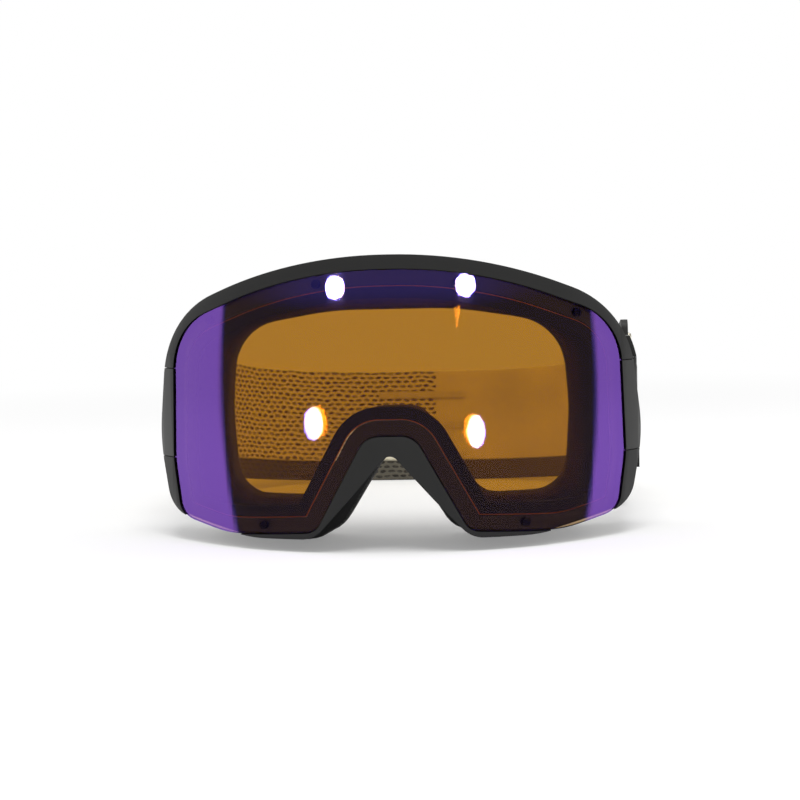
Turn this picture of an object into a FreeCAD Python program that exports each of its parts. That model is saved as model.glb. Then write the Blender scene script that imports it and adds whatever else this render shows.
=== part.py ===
import FreeCAD, Part
import math
import os

"""Ski goggles: cylindrical dual lens in a moulded frame, with foam face seal and elastic strap.

Millimetres. +Z is up, the lens faces -Y, the origin lies under the middle of the whole on the ground.
Everything is drawn with the apex of the outer lens at y = 0 and moved back by SHIFT_Y on export.
"""

# ---------------------------------------------------------------- driving dimensions
R_LENS = 105.0          # outer face of the outer lens, vertical axis
LENS_T = 1.8            # outer lens
GASKET_T = 4.0          # spacer between the two lenses
INNER_T = 1.0           # inner lens
RIM_PROUD = 0.6         # rim stands this far in front of the lens
RIM_DEPTH = 8.0         # rim, measured along the radius
POCKET_GAP = 0.3        # lens edge to the pocket it drops into
SEAT_GAP = 0.3          # lens back to the ledge
GASKET_INSET = 5.5      # gasket edge inside the lens edge
GASKET_W = 4.0
LEDGE_IN = GASKET_INSET - 0.6   # ledge opening inside the lens edge

R_FACE = 131.0          # plan radius of the face seal
SIDE_X = 80.0           # half width at which rim and face flange come closest
SIDE_DEPTH = 2.2        # flange behind the rim there
FLANGE_T = 2.0
FLANGE_IN = 1.0         # flange edge inside the foam edge
FLANGE_OPEN = 2.0       # flange opening outside the foam opening
BASE_T = 8.0            # firm foam
SOFT_T = 8.0            # soft foam
FLEECE_T = 2.0          # fleece facing
WALL_T = 2.2            # side wall between rim and flange
WALL_OUT = 0.2          # wall outside the lens edge
VENT_FOAM_T = 2.5
VENT_FOAM_GAP = 0.4     # vent foam to rim and flange
BROW_FOAM = (64.0, 74.0)            # half width and lower end of the brow vent foam
CHEEK_FOAM = (30.0, 60.0, 16.0)     # from, to, and upper end of a cheek vent foam
BROW_VENT_X = (11.0, 33.0, 54.0)
BROW_VENT = (14.0, 5.6)
CHEEK_VENT_X = (37.0, 52.0)
CHEEK_VENT = (10.0, 5.0)

MAGNET_D = 3.0
BROW_MAGNET_X = (24.0, 64.0)
CHEEK_MAGNET_X = 45.0
LENS_MAGNET_T = 1.0
FRAME_MAGNET_T = 1.5

CLIP_Z = (30.0, 62.0)   # side lens clips, bottom and top
CLIP_GAP = 0.3
CLIP_NIB_X = 80.4       # inner end of the nib beside the lens edge
PIN_X = 85.2
PIN_BACK = 7.9          # pin behind the side of the rim
PIN_R = 0.9
PIN_RUN = 0.06          # running clearance of the clip bore
PIN_PAST = 3.0          # pin beyond each end of the clip
BARREL_R = 1.9
GRIP_T = 0.8            # grip grooves of the clip
GRIP_DEPTH = 0.6

LUG_X = (78.5, 87.4)    # lugs of the clip pin, inner and outer side
LUG_Z = (22.0, 70.0)
LUG_FRONT = 4.0         # lugs before and behind the pin
LUG_BACK = 5.0
LUG_OUT = 2.0           # lugs outside the rim outline
FACE_GAP = 0.5          # temple to the foam

EAR_T = 2.5
TAB_X = (81.7, 83.0)    # frame tab that carries the ear
TAB_H = 36.0
TAB_BACK = 24.9         # end of the tab behind the side of the rim
RIVET_BACK = 19.4       # rivets behind the side of the rim
RIVET_R = 1.5
RIVET_HEAD_R = 2.8
RIVET_HEAD_T = 0.8
RIVET_DZ = 11.0
PLATE_H = 35.0
PLATE_Y = (-6.1, 7.5)   # ear plate about the rivets
EAR_Z = 45.0            # middle height of the strap at the ears
BAR_BACK = 35.1         # ear bar behind the side of the rim
BAR_W = 4.8
BAR_ROUND = 1.2
SLOT_LEN = 6.0
SLOT_END = 0.8          # slot beyond the strap edge
EAR_RAIL = 3.5
EAR_FRONT = 5.0
EAR_CORNER = 4.0

STRAP_W = 50.0
STRAP_T = 1.6
STRAP_GAP = 0.3         # strap to slider, and band to return
WRAP_GAP = 0.6          # strap to the ear bar that it goes round
STRAP_TAPER = 5.0       # degrees, sides draw in towards the back
STRAP_BACK_Y = 204.0    # middle of the band at the back, before it droops
STRAP_CORNER_R = 60.0

SLIDER_Y = 115.0        # middle of the slider along the side
SLIDER_L = 18.0
SLIDER_BAR = 2.6
SLIDER_RAIL = 3.0
SLIDER_BAR_L = 3.2      # outer bars along the strap
SLIDER_CORNER = 3.0
SLIDER_SIDE = 0.5       # strap edge to the slider rail

GRIP_LINE = (40.0, 0.6, 3.0)        # silicone line: length, height and width
GRIP_LINE_DZ = 14.0

# outlines as half polygons (x, z, corner radius), seen from the front, top middle to nose
RIM = ((31.0, 100.9, 160.0), (82.6, 80.8, 36.0), (88.2, 35.6, 60.0), (83.2, 10.6, 11.0),
       (50.0, 4.2, 50.0), (27.0, 4.6, 10.0), (14.9, 17.7, 60.0), (0.0, 34.6, 3.0))
LENS = ((29.5, 95.8, 150.0), (79.7, 76.7, 23.0), (81.4, 29.0, 40.0), (78.5, 9.3, 7.0),
        (58.0, 5.0, 40.0), (26.5, 7.0, 6.0), (8.4, 40.0, 8.0))
FACE = ((29.0, 98.3, 140.0), (79.7, 78.5, 25.0), (81.6, 42.0, 60.0), (78.0, 7.0, 12.0),
        (47.0, 0.0, 45.0), (29.0, 0.0, 9.0), (18.5, 6.0, 12.0), (0.0, 36.0, 5.5))
FACE_IN = ((22.0, 82.0, 110.0), (59.5, 75.5, 20.0), (62.0, 45.0, 60.0), (60.0, 15.0, 12.0),
           (30.0, 15.0, 10.0), (9.5, 47.5, 8.0))

# ---------------------------------------------------------------- derived
OUT_X = max(p[0] for p in RIM) + EAR_T + BARREL_R
TOP_Z = max(p[1] for p in RIM) + RIM_DEPTH
LOW_Z = -RIM_DEPTH
SEAT_R = R_LENS - LENS_T - SEAT_GAP
BACK_R = R_LENS + RIM_PROUD - RIM_DEPTH
SIDE_Y = R_LENS - math.sqrt(BACK_R ** 2 - SIDE_X ** 2)
FLANGE_Y = SIDE_Y + SIDE_DEPTH - R_FACE + math.sqrt(R_FACE ** 2 - SIDE_X ** 2)
FOAM_Y = FLANGE_Y + FLANGE_T
PIN_XY = (PIN_X, SIDE_Y + PIN_BACK)
RIVET_Y = SIDE_Y + RIVET_BACK
BAR_Y = (SIDE_Y + BAR_BACK, SIDE_Y + BAR_BACK + BAR_W)
SLOT_Y = BAR_Y[0] - SLOT_LEN
BAR_X = TAB_X[1] + EAR_T / 2
WRAP_Y = BAR_Y[0] + EAR_T / 2
WRAP_R = EAR_T / 2 + WRAP_GAP + STRAP_T / 2
LEAN = math.tan(math.radians(STRAP_TAPER))
STRAP_SPAN = STRAP_BACK_Y + STRAP_T / 2 - BAR_Y[0]
DROOP = math.degrees(math.asin(EAR_Z / math.hypot(STRAP_SPAN, STRAP_W / 2)) - math.atan(STRAP_W / 2 / STRAP_SPAN))
REAR_Y = (BAR_Y[0] + STRAP_SPAN * math.cos(math.radians(DROOP)) + STRAP_W / 2 * math.sin(math.radians(DROOP)))
SHIFT_Y = -(REAR_Y - RIM_PROUD) / 2
V = FreeCAD.Vector


# ---------------------------------------------------------------- outline helpers
def whole(half):
    """Both halves of a mirrored outline, clockwise from the top."""
    left = [(-x, z, r) for x, z, r in reversed(half) if x > 0]
    return list(half) + left


def unit(a, b):
    """Direction from a to b and the distance."""
    d = math.hypot(b[0] - a[0], b[1] - a[1])
    return ((b[0] - a[0]) / d, (b[1] - a[1]) / d), d


def grown(points, by):
    """The clockwise outline with every side moved outwards, corner radii kept concentric."""
    n = len(points)
    out = []
    for i in range(n):
        a, b, c = points[i - 1], points[i], points[(i + 1) % n]
        u, _ = unit(a, b)
        w, _ = unit(b, c)
        nu, nw = (-u[1], u[0]), (-w[1], w[0])
        turn = u[0] * w[1] - u[1] * w[0]
        k = by / (1 + nu[0] * nw[0] + nu[1] * nw[1])
        r = b[2] + (by if turn < 0 else -by)
        out.append((b[0] + k * (nu[0] + nw[0]), b[1] + k * (nu[1] + nw[1]), max(r, 0.4)))
    return out


def edges(points, closed, at):
    """Lines and tangent arcs through the corners; at() lifts a flat pair into space."""
    n = len(points)
    spans = []
    for i, b in enumerate(points):
        if not closed and i in (0, n - 1):
            spans.append((b[:2], b[:2], b[:2]))
            continue
        a, c = points[i - 1], points[(i + 1) % n]
        u, _ = unit(b, a)
        w, _ = unit(b, c)
        half = math.acos(max(-1.0, min(1.0, u[0] * w[0] + u[1] * w[1]))) / 2
        t = b[2] / math.tan(half)
        bis = math.hypot(u[0] + w[0], u[1] + w[1])
        m = (b[2] / math.sin(half) - b[2]) / bis
        spans.append(((b[0] + t * u[0], b[1] + t * u[1]),
                      (b[0] + m * (u[0] + w[0]), b[1] + m * (u[1] + w[1])),
                      (b[0] + t * w[0], b[1] + t * w[1])))
    made = []
    for i, (p, m, q) in enumerate(spans):
        if p != q:
            made.append(Part.Arc(at(*p), at(*m), at(*q)).toShape())
        if i < n - 1 or closed:
            nxt = spans[(i + 1) % n][0]
            if math.hypot(nxt[0] - q[0], nxt[1] - q[1]) > 1e-6:
                made.append(Part.makeLine(at(*q), at(*nxt)))
    return made


def prism(points):
    """Outline seen from the front, run straight back through the whole goggle."""
    wire = Part.Wire(edges(points, True, lambda x, z: V(x, -RIM_DEPTH, z)))
    return Part.Face(wire).extrude(V(0, R_LENS, 0))


def barrel(radius):
    """Upright cylinder about the lens axis."""
    return Part.makeCylinder(radius, TOP_Z - LOW_Z, V(0, R_LENS, LOW_Z), V(0, 0, 1))


def face_barrel(apex):
    """Upright cylinder of the face seal whose front line is at the given y."""
    return Part.makeCylinder(R_FACE, TOP_Z - LOW_Z, V(0, apex + R_FACE, LOW_Z), V(0, 0, 1))


def shell(points, outer, inner):
    """Outline cut from the shell between two lens radii."""
    return prism(points).common(barrel(outer).cut(barrel(inner)))


def face_layer(outer, inner, front, back):
    """Ring between two outlines and two face surfaces."""
    ring = prism(outer).cut(prism(inner))
    return ring.common(face_barrel(front)).cut(face_barrel(back))


def box(x0, x1, y0, y1, z0, z1):
    return Part.makeBox(x1 - x0, y1 - y0, z1 - z0, V(x0, y0, z0))


def mirrored(shape):
    """The same piece on the other side."""
    return shape.mirror(V(0, 0, 0), V(1, 0, 0))


def both(shape):
    return [shape, mirrored(shape)]


def drooped(shape):
    """Tilted with the strap about the ears."""
    out = shape.copy()
    out.rotate(V(0, BAR_Y[0], EAR_Z), V(1, 0, 0), -DROOP)
    return out


def rim_back(x):
    """y of the back of the rim at x."""
    return R_LENS - math.sqrt(BACK_R ** 2 - x * x)


def flange_front(x):
    """y of the front of the flange at x."""
    return FLANGE_Y + R_FACE - math.sqrt(R_FACE ** 2 - x * x)


# ---------------------------------------------------------------- magnets
def magnet_places():
    """Six spots along the middle of the ledge: brow, upper corners and cheeks."""
    ledge = prism(grown(whole(LENS), -GASKET_INSET / 2))
    half = []
    for x, pick in [(x, max) for x in BROW_MAGNET_X] + [(CHEEK_MAGNET_X, min)]:
        line = Part.makeLine(V(x, 0, LOW_Z), V(x, 0, TOP_Z)).common(ledge)
        half.append((x, pick(v.Z for v in line.Vertexes)))
    return [(s * x, z) for s in (1, -1) for x, z in half]


def magnets(outer, inner):
    """Short pins along the lens radius."""
    made = []
    for x, z in magnet_places():
        a = math.asin(x / SEAT_R)
        start = V(inner * math.sin(a), R_LENS - inner * math.cos(a), z)
        way = V(math.sin(a), -math.cos(a), 0)
        made.append(Part.makeCylinder(MAGNET_D / 2, outer - inner, start, way))
    return made


# ---------------------------------------------------------------- frame
def rim_solid():
    """All that lies inside the rim outline behind its front face."""
    return prism(whole(RIM)).common(barrel(R_LENS + RIM_PROUD))


def clip_pocket():
    """Room for the right clip in the side of the frame."""
    z0, z1 = CLIP_Z[0] - CLIP_GAP, CLIP_Z[1] + CLIP_GAP
    reach = BARREL_R + CLIP_GAP
    side = box(PIN_X - reach, OUT_X, 0, PIN_XY[1] + reach, z0, z1)
    nib = box(CLIP_NIB_X, OUT_X, 0, PIN_XY[1] + reach, z0, z1).cut(barrel(SEAT_R - CLIP_GAP))
    return side.fuse(nib)


def temple():
    """Right temple: block behind the rim, the lugs of the clip pin and the tab of the ear."""
    front, back = PIN_XY[1] - LUG_FRONT, PIN_XY[1] + LUG_BACK
    block = box(LUG_X[0], OUT_X, SIDE_Y - LUG_FRONT, back, *LUG_Z).common(prism(whole(RIM)))
    lugs = box(*LUG_X, front, back, *LUG_Z).common(prism(grown(whole(RIM), LUG_OUT)))
    tab = box(*TAB_X, front, SIDE_Y + TAB_BACK, EAR_Z - TAB_H / 2, EAR_Z + TAB_H / 2)
    solid = block.common(barrel(R_LENS)).fuse([lugs, tab])
    return solid.cut(prism(grown(whole(FACE), FACE_GAP)).common(face_barrel(FLANGE_Y + FACE_GAP)))


def vents():
    """Slots through the brow wall and under each cheek."""
    cuts = []
    for places, size, z0, z1 in ((BROW_VENT_X, BROW_VENT, BROW_FOAM[1], TOP_Z),
                                 (CHEEK_VENT_X, CHEEK_VENT, LOW_Z, CHEEK_FOAM[2])):
        for x in places:
            y = (rim_back(x) + flange_front(x)) / 2
            slot = box(x - size[0] / 2, x + size[0] / 2, y - size[1] / 2, y + size[1] / 2, z0, z1)
            cuts += both(slot)
    return cuts


def frame_pieces():
    """Front rim, side wall, face flange and temples, which meet face to face."""
    lens = whole(LENS)
    rim = rim_solid().cut(barrel(BACK_R))
    wall = prism(grown(lens, WALL_OUT)).cut(prism(grown(lens, WALL_OUT - WALL_T)))
    wall = wall.common(barrel(BACK_R)).cut(face_barrel(FLANGE_Y))
    flange = face_layer(grown(whole(FACE), -FLANGE_IN), grown(whole(FACE_IN), FLANGE_OPEN), FLANGE_Y, FOAM_Y)
    side = temple().cut([rim, wall, flange])
    seat = prism(grown(lens, POCKET_GAP)).cut(barrel(SEAT_R))
    opening = prism(grown(lens, -LEDGE_IN)).cut(face_barrel(FLANGE_Y))
    holes = [seat, opening] + both(clip_pocket()) + magnets(SEAT_R + 1, SEAT_R - FRAME_MAGNET_T)
    holes += vents() + both(pin()) + both(rivets()[0]) + both(rivets()[1])
    pieces = {"front_rim": rim, "side_wall": wall, "face_flange": flange, "temple_right": side}
    made = {name: piece.cut(holes).removeSplitter() for name, piece in pieces.items()}
    made["temple_left"] = mirrored(made["temple_right"])
    return made


def pin():
    """Right clip pin."""
    start = V(*PIN_XY, CLIP_Z[0] - PIN_PAST)
    return Part.makeCylinder(PIN_R, CLIP_Z[1] - CLIP_Z[0] + 2 * PIN_PAST, start, V(0, 0, 1))


def lens_clip():
    """Right clip: flush side lever with a nib against the lens edge, on an upright pin."""
    z0, z1 = CLIP_Z
    lever = box(PIN_X - BARREL_R, OUT_X, 0, PIN_XY[1], z0, z1)
    nib = box(CLIP_NIB_X - CLIP_GAP, OUT_X, 0, PIN_XY[1], z0, z1)
    nib = nib.cut([prism(grown(whole(LENS), POCKET_GAP)), barrel(SEAT_R)])
    knuckle = Part.makeCylinder(BARREL_R, z1 - z0, V(*PIN_XY, z0), V(0, 0, 1))
    clip = lever.fuse(nib).common(rim_solid()).fuse(knuckle)
    clip = clip.cut(Part.makeCylinder(PIN_R + PIN_RUN, 2 * (z1 - z0), V(*PIN_XY, z0 - BARREL_R), V(0, 0, 1)))
    side = PIN_X + BARREL_R - GRIP_DEPTH / 2
    grips = [box(side, OUT_X, y, y + GRIP_T, z0 + EAR_FRONT, z1 - EAR_FRONT)
             for y in [PIN_XY[1] - 5 * BARREL_R + 2.5 * GRIP_T * i for i in range(4)]]
    return clip.cut(grips).removeSplitter()


# ---------------------------------------------------------------- ears
def rivets():
    """Two rivets through the right tab and ear, with low heads outside."""
    made = []
    for z in (EAR_Z - RIVET_DZ, EAR_Z + RIVET_DZ):
        stem = Part.makeCylinder(RIVET_R, TAB_X[1] - TAB_X[0] + EAR_T, V(TAB_X[0], RIVET_Y, z), V(1, 0, 0))
        head = Part.makeCylinder(RIVET_HEAD_R, RIVET_HEAD_T, V(TAB_X[1] + EAR_T, RIVET_Y, z), V(1, 0, 0))
        made.append(stem.fuse(head).removeSplitter())
    return made


def strap_ear():
    """Right ear: plate outside the tab, with a drooped slot and a rounded bar for the strap."""
    x0, x1 = TAB_X[1], TAB_X[1] + EAR_T
    half = STRAP_W / 2 + SLOT_END
    tall = half + EAR_RAIL
    plate = box(x0, x1, RIVET_Y + PLATE_Y[0], RIVET_Y + PLATE_Y[1], EAR_Z - PLATE_H / 2, EAR_Z + PLATE_H / 2)
    hoop = box(x0, x1, SLOT_Y - EAR_FRONT, BAR_Y[1], EAR_Z - tall, EAR_Z + tall)
    corners = [e for e in hoop.Edges if abs(e.tangentAt(e.FirstParameter).x) > 0.99]
    hoop = hoop.makeFillet(EAR_CORNER, corners)
    window = box(x0, x1, SLOT_Y, BAR_Y[0], EAR_Z - half, EAR_Z + half)
    hoop = hoop.cut(window)
    bar_edges = [e for e in hoop.Edges if abs(e.CenterOfMass.y - BAR_Y[0]) < 1e-6
                 and abs(e.tangentAt(e.FirstParameter).z) > 0.99]
    hoop = hoop.makeFillet(BAR_ROUND, bar_edges)
    neck = box(x0, x1, RIVET_Y, SLOT_Y, EAR_Z - PLATE_H / 2, EAR_Z + PLATE_H / 2 - EAR_RAIL)
    neck = neck.cut(drooped(box(x0, x1, SLOT_Y - EAR_FRONT / 2, BAR_Y[1], LOW_Z, TOP_Z)))
    return plate.fuse([drooped(hoop), neck]).cut([drooped(window)] + rivets()).removeSplitter()


# ---------------------------------------------------------------- foam
def foam_ring(front, thick, inset):
    return face_layer(grown(whole(FACE), -inset), grown(whole(FACE_IN), inset), front, front + thick)


def wall_strip(keep):
    """Thin open foam against the inside of the wall, where keep covers it."""
    inner = WALL_OUT - WALL_T
    ring = prism(grown(whole(LENS), inner)).cut(prism(grown(whole(LENS), inner - VENT_FOAM_T)))
    ring = ring.common(barrel(BACK_R - VENT_FOAM_GAP)).cut(face_barrel(FLANGE_Y - VENT_FOAM_GAP))
    return ring.common(keep)


# ---------------------------------------------------------------- strap
def band_path(offset):
    """Line of the band in plan, shifted outwards, open from the right ear round to the left."""
    back = STRAP_BACK_Y + offset
    start = BAR_X + WRAP_R + offset / math.cos(math.radians(STRAP_TAPER))
    end = start - (back - WRAP_Y) * LEAN
    r = STRAP_CORNER_R + offset
    return [(start, WRAP_Y, 0), (end, back, r), (-end, back, r), (-start, WRAP_Y, 0)]


def strap_band():
    """One U-shaped elastic band from bar to bar."""
    at = lambda x, y: V(x, y, EAR_Z - STRAP_W / 2)
    out = edges(band_path(STRAP_T / 2), False, at)
    inn = edges(band_path(-STRAP_T / 2), False, at)
    ends = [Part.makeLine(out[-1].Vertexes[-1].Point, inn[-1].Vertexes[-1].Point),
            Part.makeLine(inn[0].Vertexes[0].Point, out[0].Vertexes[0].Point)]
    wire = Part.Wire(Part.__sortEdges__(out + inn + ends))
    return drooped(Part.Face(wire).extrude(V(0, 0, STRAP_W)))


def strap_return():
    """Right return: round the ear bar and back along the inside to the slider bar."""
    z0 = EAR_Z - STRAP_W / 2
    centre = V(BAR_X, WRAP_Y, z0)
    t = STRAP_T / 2
    ring = Part.makeCylinder(WRAP_R + t, STRAP_W, centre).cut(Part.makeCylinder(WRAP_R - t, STRAP_W, centre))
    ring = ring.common(box(0, OUT_X, 0, WRAP_Y, LOW_Z, TOP_Z))
    end_y = SLIDER_Y - SLIDER_BAR / 2 - STRAP_GAP
    start_x = BAR_X - WRAP_R
    end_x = BAR_X + WRAP_R - (end_y - WRAP_Y) * LEAN - STRAP_T - STRAP_GAP
    pts = [(start_x + t, WRAP_Y), (end_x + t, end_y), (end_x - t, end_y), (start_x - t, WRAP_Y)]
    leg = Part.Face(Part.makePolygon([V(x, y, z0) for x, y in pts + pts[:1]])).extrude(V(0, 0, STRAP_W))
    return drooped(ring.fuse(leg).removeSplitter())


def slider():
    """Right three-bar slider round the band: outer bars front and back, middle bar inside."""
    half = STRAP_W / 2 + SLIDER_SIDE
    reach = STRAP_T / 2 + STRAP_GAP
    n = reach + SLIDER_BAR
    end = SLIDER_L / 2
    body = box(-n, n, -end, end, -half - SLIDER_RAIL, half + SLIDER_RAIL)
    corners = [e for e in body.Edges if abs(e.tangentAt(e.FirstParameter).x) > 0.99]
    body = body.makeFillet(SLIDER_CORNER, corners)
    body = body.cut(box(-n, n, SLIDER_BAR_L - end, end - SLIDER_BAR_L, -half, half))
    body = body.cut(box(-n, reach, -end, end, -half, half))
    middle = box(-n, -reach, -SLIDER_BAR / 2, SLIDER_BAR / 2, -half, half)
    body = body.fuse(middle).removeSplitter()
    body.rotate(V(0, 0, 0), V(0, 0, 1), STRAP_TAPER)
    body.translate(V(BAR_X + WRAP_R - (SLIDER_Y - WRAP_Y) * LEAN, SLIDER_Y, EAR_Z))
    return drooped(body)


def silicone_grip():
    """Three raised grip lines inside the back of the band."""
    length, height, width = GRIP_LINE
    y = STRAP_BACK_Y - STRAP_T / 2
    line = box(-length / 2, length / 2, y - height, y, EAR_Z - width / 2, EAR_Z + width / 2)
    return [drooped(line.translated(V(0, 0, dz))) for dz in (-GRIP_LINE_DZ, 0.0, GRIP_LINE_DZ)]


# ---------------------------------------------------------------- all nodes
def lens_nodes():
    lens = whole(LENS)
    edge = grown(lens, -GASKET_INSET)
    r0 = R_LENS
    r1 = r0 - LENS_T
    r2 = r1 - GASKET_T
    outer = shell(lens, r0, r1).cut(magnets(r1 + LENS_MAGNET_T, r1 - 1))
    gasket = shell(edge, r1, r2).cut(prism(grown(edge, -GASKET_W)))
    return {"outer_lens": outer, "lens_gasket": gasket, "inner_lens": shell(edge, r2, r2 - INNER_T),
            "lens_magnets": Part.makeCompound(magnets(r1 + LENS_MAGNET_T, r1))}


def foam_nodes():
    brow = box(-BROW_FOAM[0], BROW_FOAM[0], LOW_Z, R_LENS, BROW_FOAM[1], TOP_Z)
    cheek = wall_strip(box(CHEEK_FOAM[0], CHEEK_FOAM[1], LOW_Z, R_LENS, LOW_Z, CHEEK_FOAM[2]))
    return {"face_foam_base": foam_ring(FOAM_Y, BASE_T, 0.0),
            "face_foam_soft": foam_ring(FOAM_Y + BASE_T, SOFT_T, 0.0),
            "face_fleece": foam_ring(FOAM_Y + BASE_T + SOFT_T, FLEECE_T, 0.5),
            "brow_vent_foam": wall_strip(brow),
            "cheek_vent_foam_left": mirrored(cheek), "cheek_vent_foam_right": cheek}


def fixed_nodes():
    ear = strap_ear()
    back = strap_return()
    return {"strap_ear_left": mirrored(ear), "strap_ear_right": ear,
            "ear_rivets": Part.makeCompound([r for one in rivets() for r in both(one)]),
            "clip_pins": Part.makeCompound(both(pin())),
            "frame_magnets": Part.makeCompound(magnets(SEAT_R, SEAT_R - FRAME_MAGNET_T)),
            "strap_band": strap_band(), "strap_return_left": mirrored(back), "strap_return_right": back,
            "silicone_grip": Part.makeCompound(silicone_grip())}


def moving_nodes():
    clip = lens_clip()
    tri = slider()
    return {"lens_clip_left": mirrored(clip), "lens_clip_right": clip,
            "slider_left": mirrored(tri), "slider_right": tri}


def main():
    os.makedirs("parts", exist_ok=True)
    nodes = {**frame_pieces(), **foam_nodes(), **fixed_nodes(), **lens_nodes(), **moving_nodes()}
    for name, shape in nodes.items():
        out = shape.copy()
        out.translate(V(0, SHIFT_Y, 0))
        out.exportStep("parts/" + name + ".step")
        b = out.BoundBox
        print(name, len(out.Solids), out.isValid(), round(out.Volume),
              [round(v, 2) for v in (b.XMin, b.XMax, b.YMin, b.YMax, b.ZMin, b.ZMax)])
    print("shift", round(SHIFT_Y, 4), "droop", round(DROOP, 4), "flange", round(FLANGE_Y, 3), "pin", round(PIN_XY[1], 3))


main()
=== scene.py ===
import logging
import math
from dataclasses import dataclass, field
from enum import Enum
from typing import Callable, Sequence

import bpy
from mathutils import Matrix, Vector


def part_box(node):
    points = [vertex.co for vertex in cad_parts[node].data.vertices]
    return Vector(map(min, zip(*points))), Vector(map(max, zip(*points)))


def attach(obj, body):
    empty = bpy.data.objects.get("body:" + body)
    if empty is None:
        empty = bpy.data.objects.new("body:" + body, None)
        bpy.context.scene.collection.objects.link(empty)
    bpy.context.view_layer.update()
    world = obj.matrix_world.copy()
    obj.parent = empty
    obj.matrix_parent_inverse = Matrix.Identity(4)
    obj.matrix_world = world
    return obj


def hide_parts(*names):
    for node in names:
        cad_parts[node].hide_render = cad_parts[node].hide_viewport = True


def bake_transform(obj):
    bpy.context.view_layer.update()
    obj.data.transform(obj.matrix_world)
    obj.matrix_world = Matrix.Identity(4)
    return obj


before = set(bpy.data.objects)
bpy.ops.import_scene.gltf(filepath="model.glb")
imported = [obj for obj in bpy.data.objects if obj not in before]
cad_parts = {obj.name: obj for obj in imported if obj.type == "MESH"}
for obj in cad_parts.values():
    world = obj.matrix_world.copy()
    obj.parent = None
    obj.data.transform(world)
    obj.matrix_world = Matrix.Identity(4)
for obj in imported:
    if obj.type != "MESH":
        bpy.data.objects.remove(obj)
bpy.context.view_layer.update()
LOG = logging.getLogger("goggles")
MM = 0.001
Tree = bpy.types.NodeTree
Socket = bpy.types.NodeSocket
Colour = tuple[float, float, float, float]
# Between these heights on the strap its dark lower border ends.
BORDER = (8.6 * MM, 9.4 * MM)


class Body(str, Enum):
    """The moving bodies of the goggles."""

    FRAME = "goggle_frame"
    LENS = "lens"
    CLIP_LEFT = "clip_left"
    CLIP_RIGHT = "clip_right"
    SLIDER_LEFT = "strap_slider_left"
    SLIDER_RIGHT = "strap_slider_right"


# ------------------------------------------------------------------ node helpers
def linear(hex_colour: str, shade: float = 1.0) -> Colour:
    """Turns an sRGB hex colour into linear numbers.

    Args:
        hex_colour: colour such as "3a3a36".
        shade: how much lighter or darker than that, in linear light.

    Returns:
        Linear red, green, blue and alpha.
    """
    parts = [int(hex_colour[i:i + 2], 16) / 255 for i in (0, 2, 4)]
    flat = [c / 12.92 if c <= 0.04045 else ((c + 0.055) / 1.055) ** 2.4 for c in parts]
    red, green, blue = (min(1.0, c * shade) for c in flat)
    return red, green, blue, 1.0


def add(tree: Tree, kind: str, inputs: dict | None = None, **settings) -> bpy.types.Node:
    """Adds one node with its settings, values and links.

    Args:
        tree: node tree of the material.
        kind: node type without its "ShaderNode" prefix.
        inputs: socket name or number to a value or to a socket that feeds it.
        **settings: properties of the node itself.

    Returns:
        The new node.
    """
    node = tree.nodes.new("ShaderNode" + kind)
    for name, value in settings.items():
        setattr(node, name, value)
    for name, value in (inputs or {}).items():
        if isinstance(value, Socket):
            tree.links.new(value, node.inputs[name])
        else:
            node.inputs[name].default_value = value
    return node


def calc(tree: Tree, operation: str, *terms: Socket | float) -> Socket:
    """One step of arithmetic on its terms, in order."""
    return add(tree, "Math", dict(enumerate(terms)), operation=operation).outputs["Value"]


def noise(tree: Tree, place: Socket, scale: float, detail: float = 2.0, roughness: float = 0.5) -> Socket:
    """Cloudy noise from 0 to 1, with this many blots to the metre."""
    inputs = {"Vector": place, "Scale": scale, "Detail": detail, "Roughness": roughness}
    return add(tree, "TexNoise", inputs).outputs["Fac"]


def remap(tree: Tree, value: Socket, given: tuple[float, float], wanted: tuple[float, float] = (0.0, 1.0),
          ease: bool = False) -> Socket:
    """Carries one range of a value over to another and holds it at both ends.

    Args:
        tree: node tree of the material.
        value: value to carry over.
        given: its range.
        wanted: range of the result.
        ease: soft ends in place of a straight rise.

    Returns:
        The new value.
    """
    inputs = {"Value": value, "From Min": given[0], "From Max": given[1], "To Min": wanted[0],
              "To Max": wanted[1]}
    kind = "SMOOTHSTEP" if ease else "LINEAR"
    return add(tree, "MapRange", inputs, interpolation_type=kind).outputs["Result"]


def ramp(tree: Tree, value: Socket, *stops: tuple[float, Colour]) -> Socket:
    """Colours a value by its stops, lowest first."""
    node = add(tree, "ValToRGB", {"Fac": value})
    band = node.color_ramp.elements
    for i, (place, colour) in enumerate(stops):
        element = band[i] if i < len(band) else band.new(place)
        element.position = place
        element.color = colour
    return node.outputs["Color"]


def relief(tree: Tree, height: Socket, depth_mm: float, strength: float = 1.0) -> Socket:
    """The normal of a surface with this height on it, so many millimetres deep."""
    inputs = {"Height": height, "Distance": depth_mm * MM, "Strength": strength}
    return add(tree, "Bump", inputs).outputs["Normal"]


def blank(name: str) -> tuple[bpy.types.Material, Tree]:
    """A new material and its empty node tree."""
    material = bpy.data.materials.new(name)
    material.use_nodes = True
    material.node_tree.nodes.clear()
    return material, material.node_tree


def surface(tree: Tree, inputs: dict) -> None:
    """Ends a material with one Principled shader that has these inputs."""
    add(tree, "OutputMaterial", {"Surface": add(tree, "BsdfPrincipled", inputs).outputs["BSDF"]})


# ------------------------------------------------------------------ mesh helpers
def only(obj: bpy.types.Object) -> None:
    """Selects this object alone and makes it active."""
    bpy.ops.object.select_all(action="DESELECT")
    obj.select_set(True)
    bpy.context.view_layer.objects.active = obj


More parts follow.
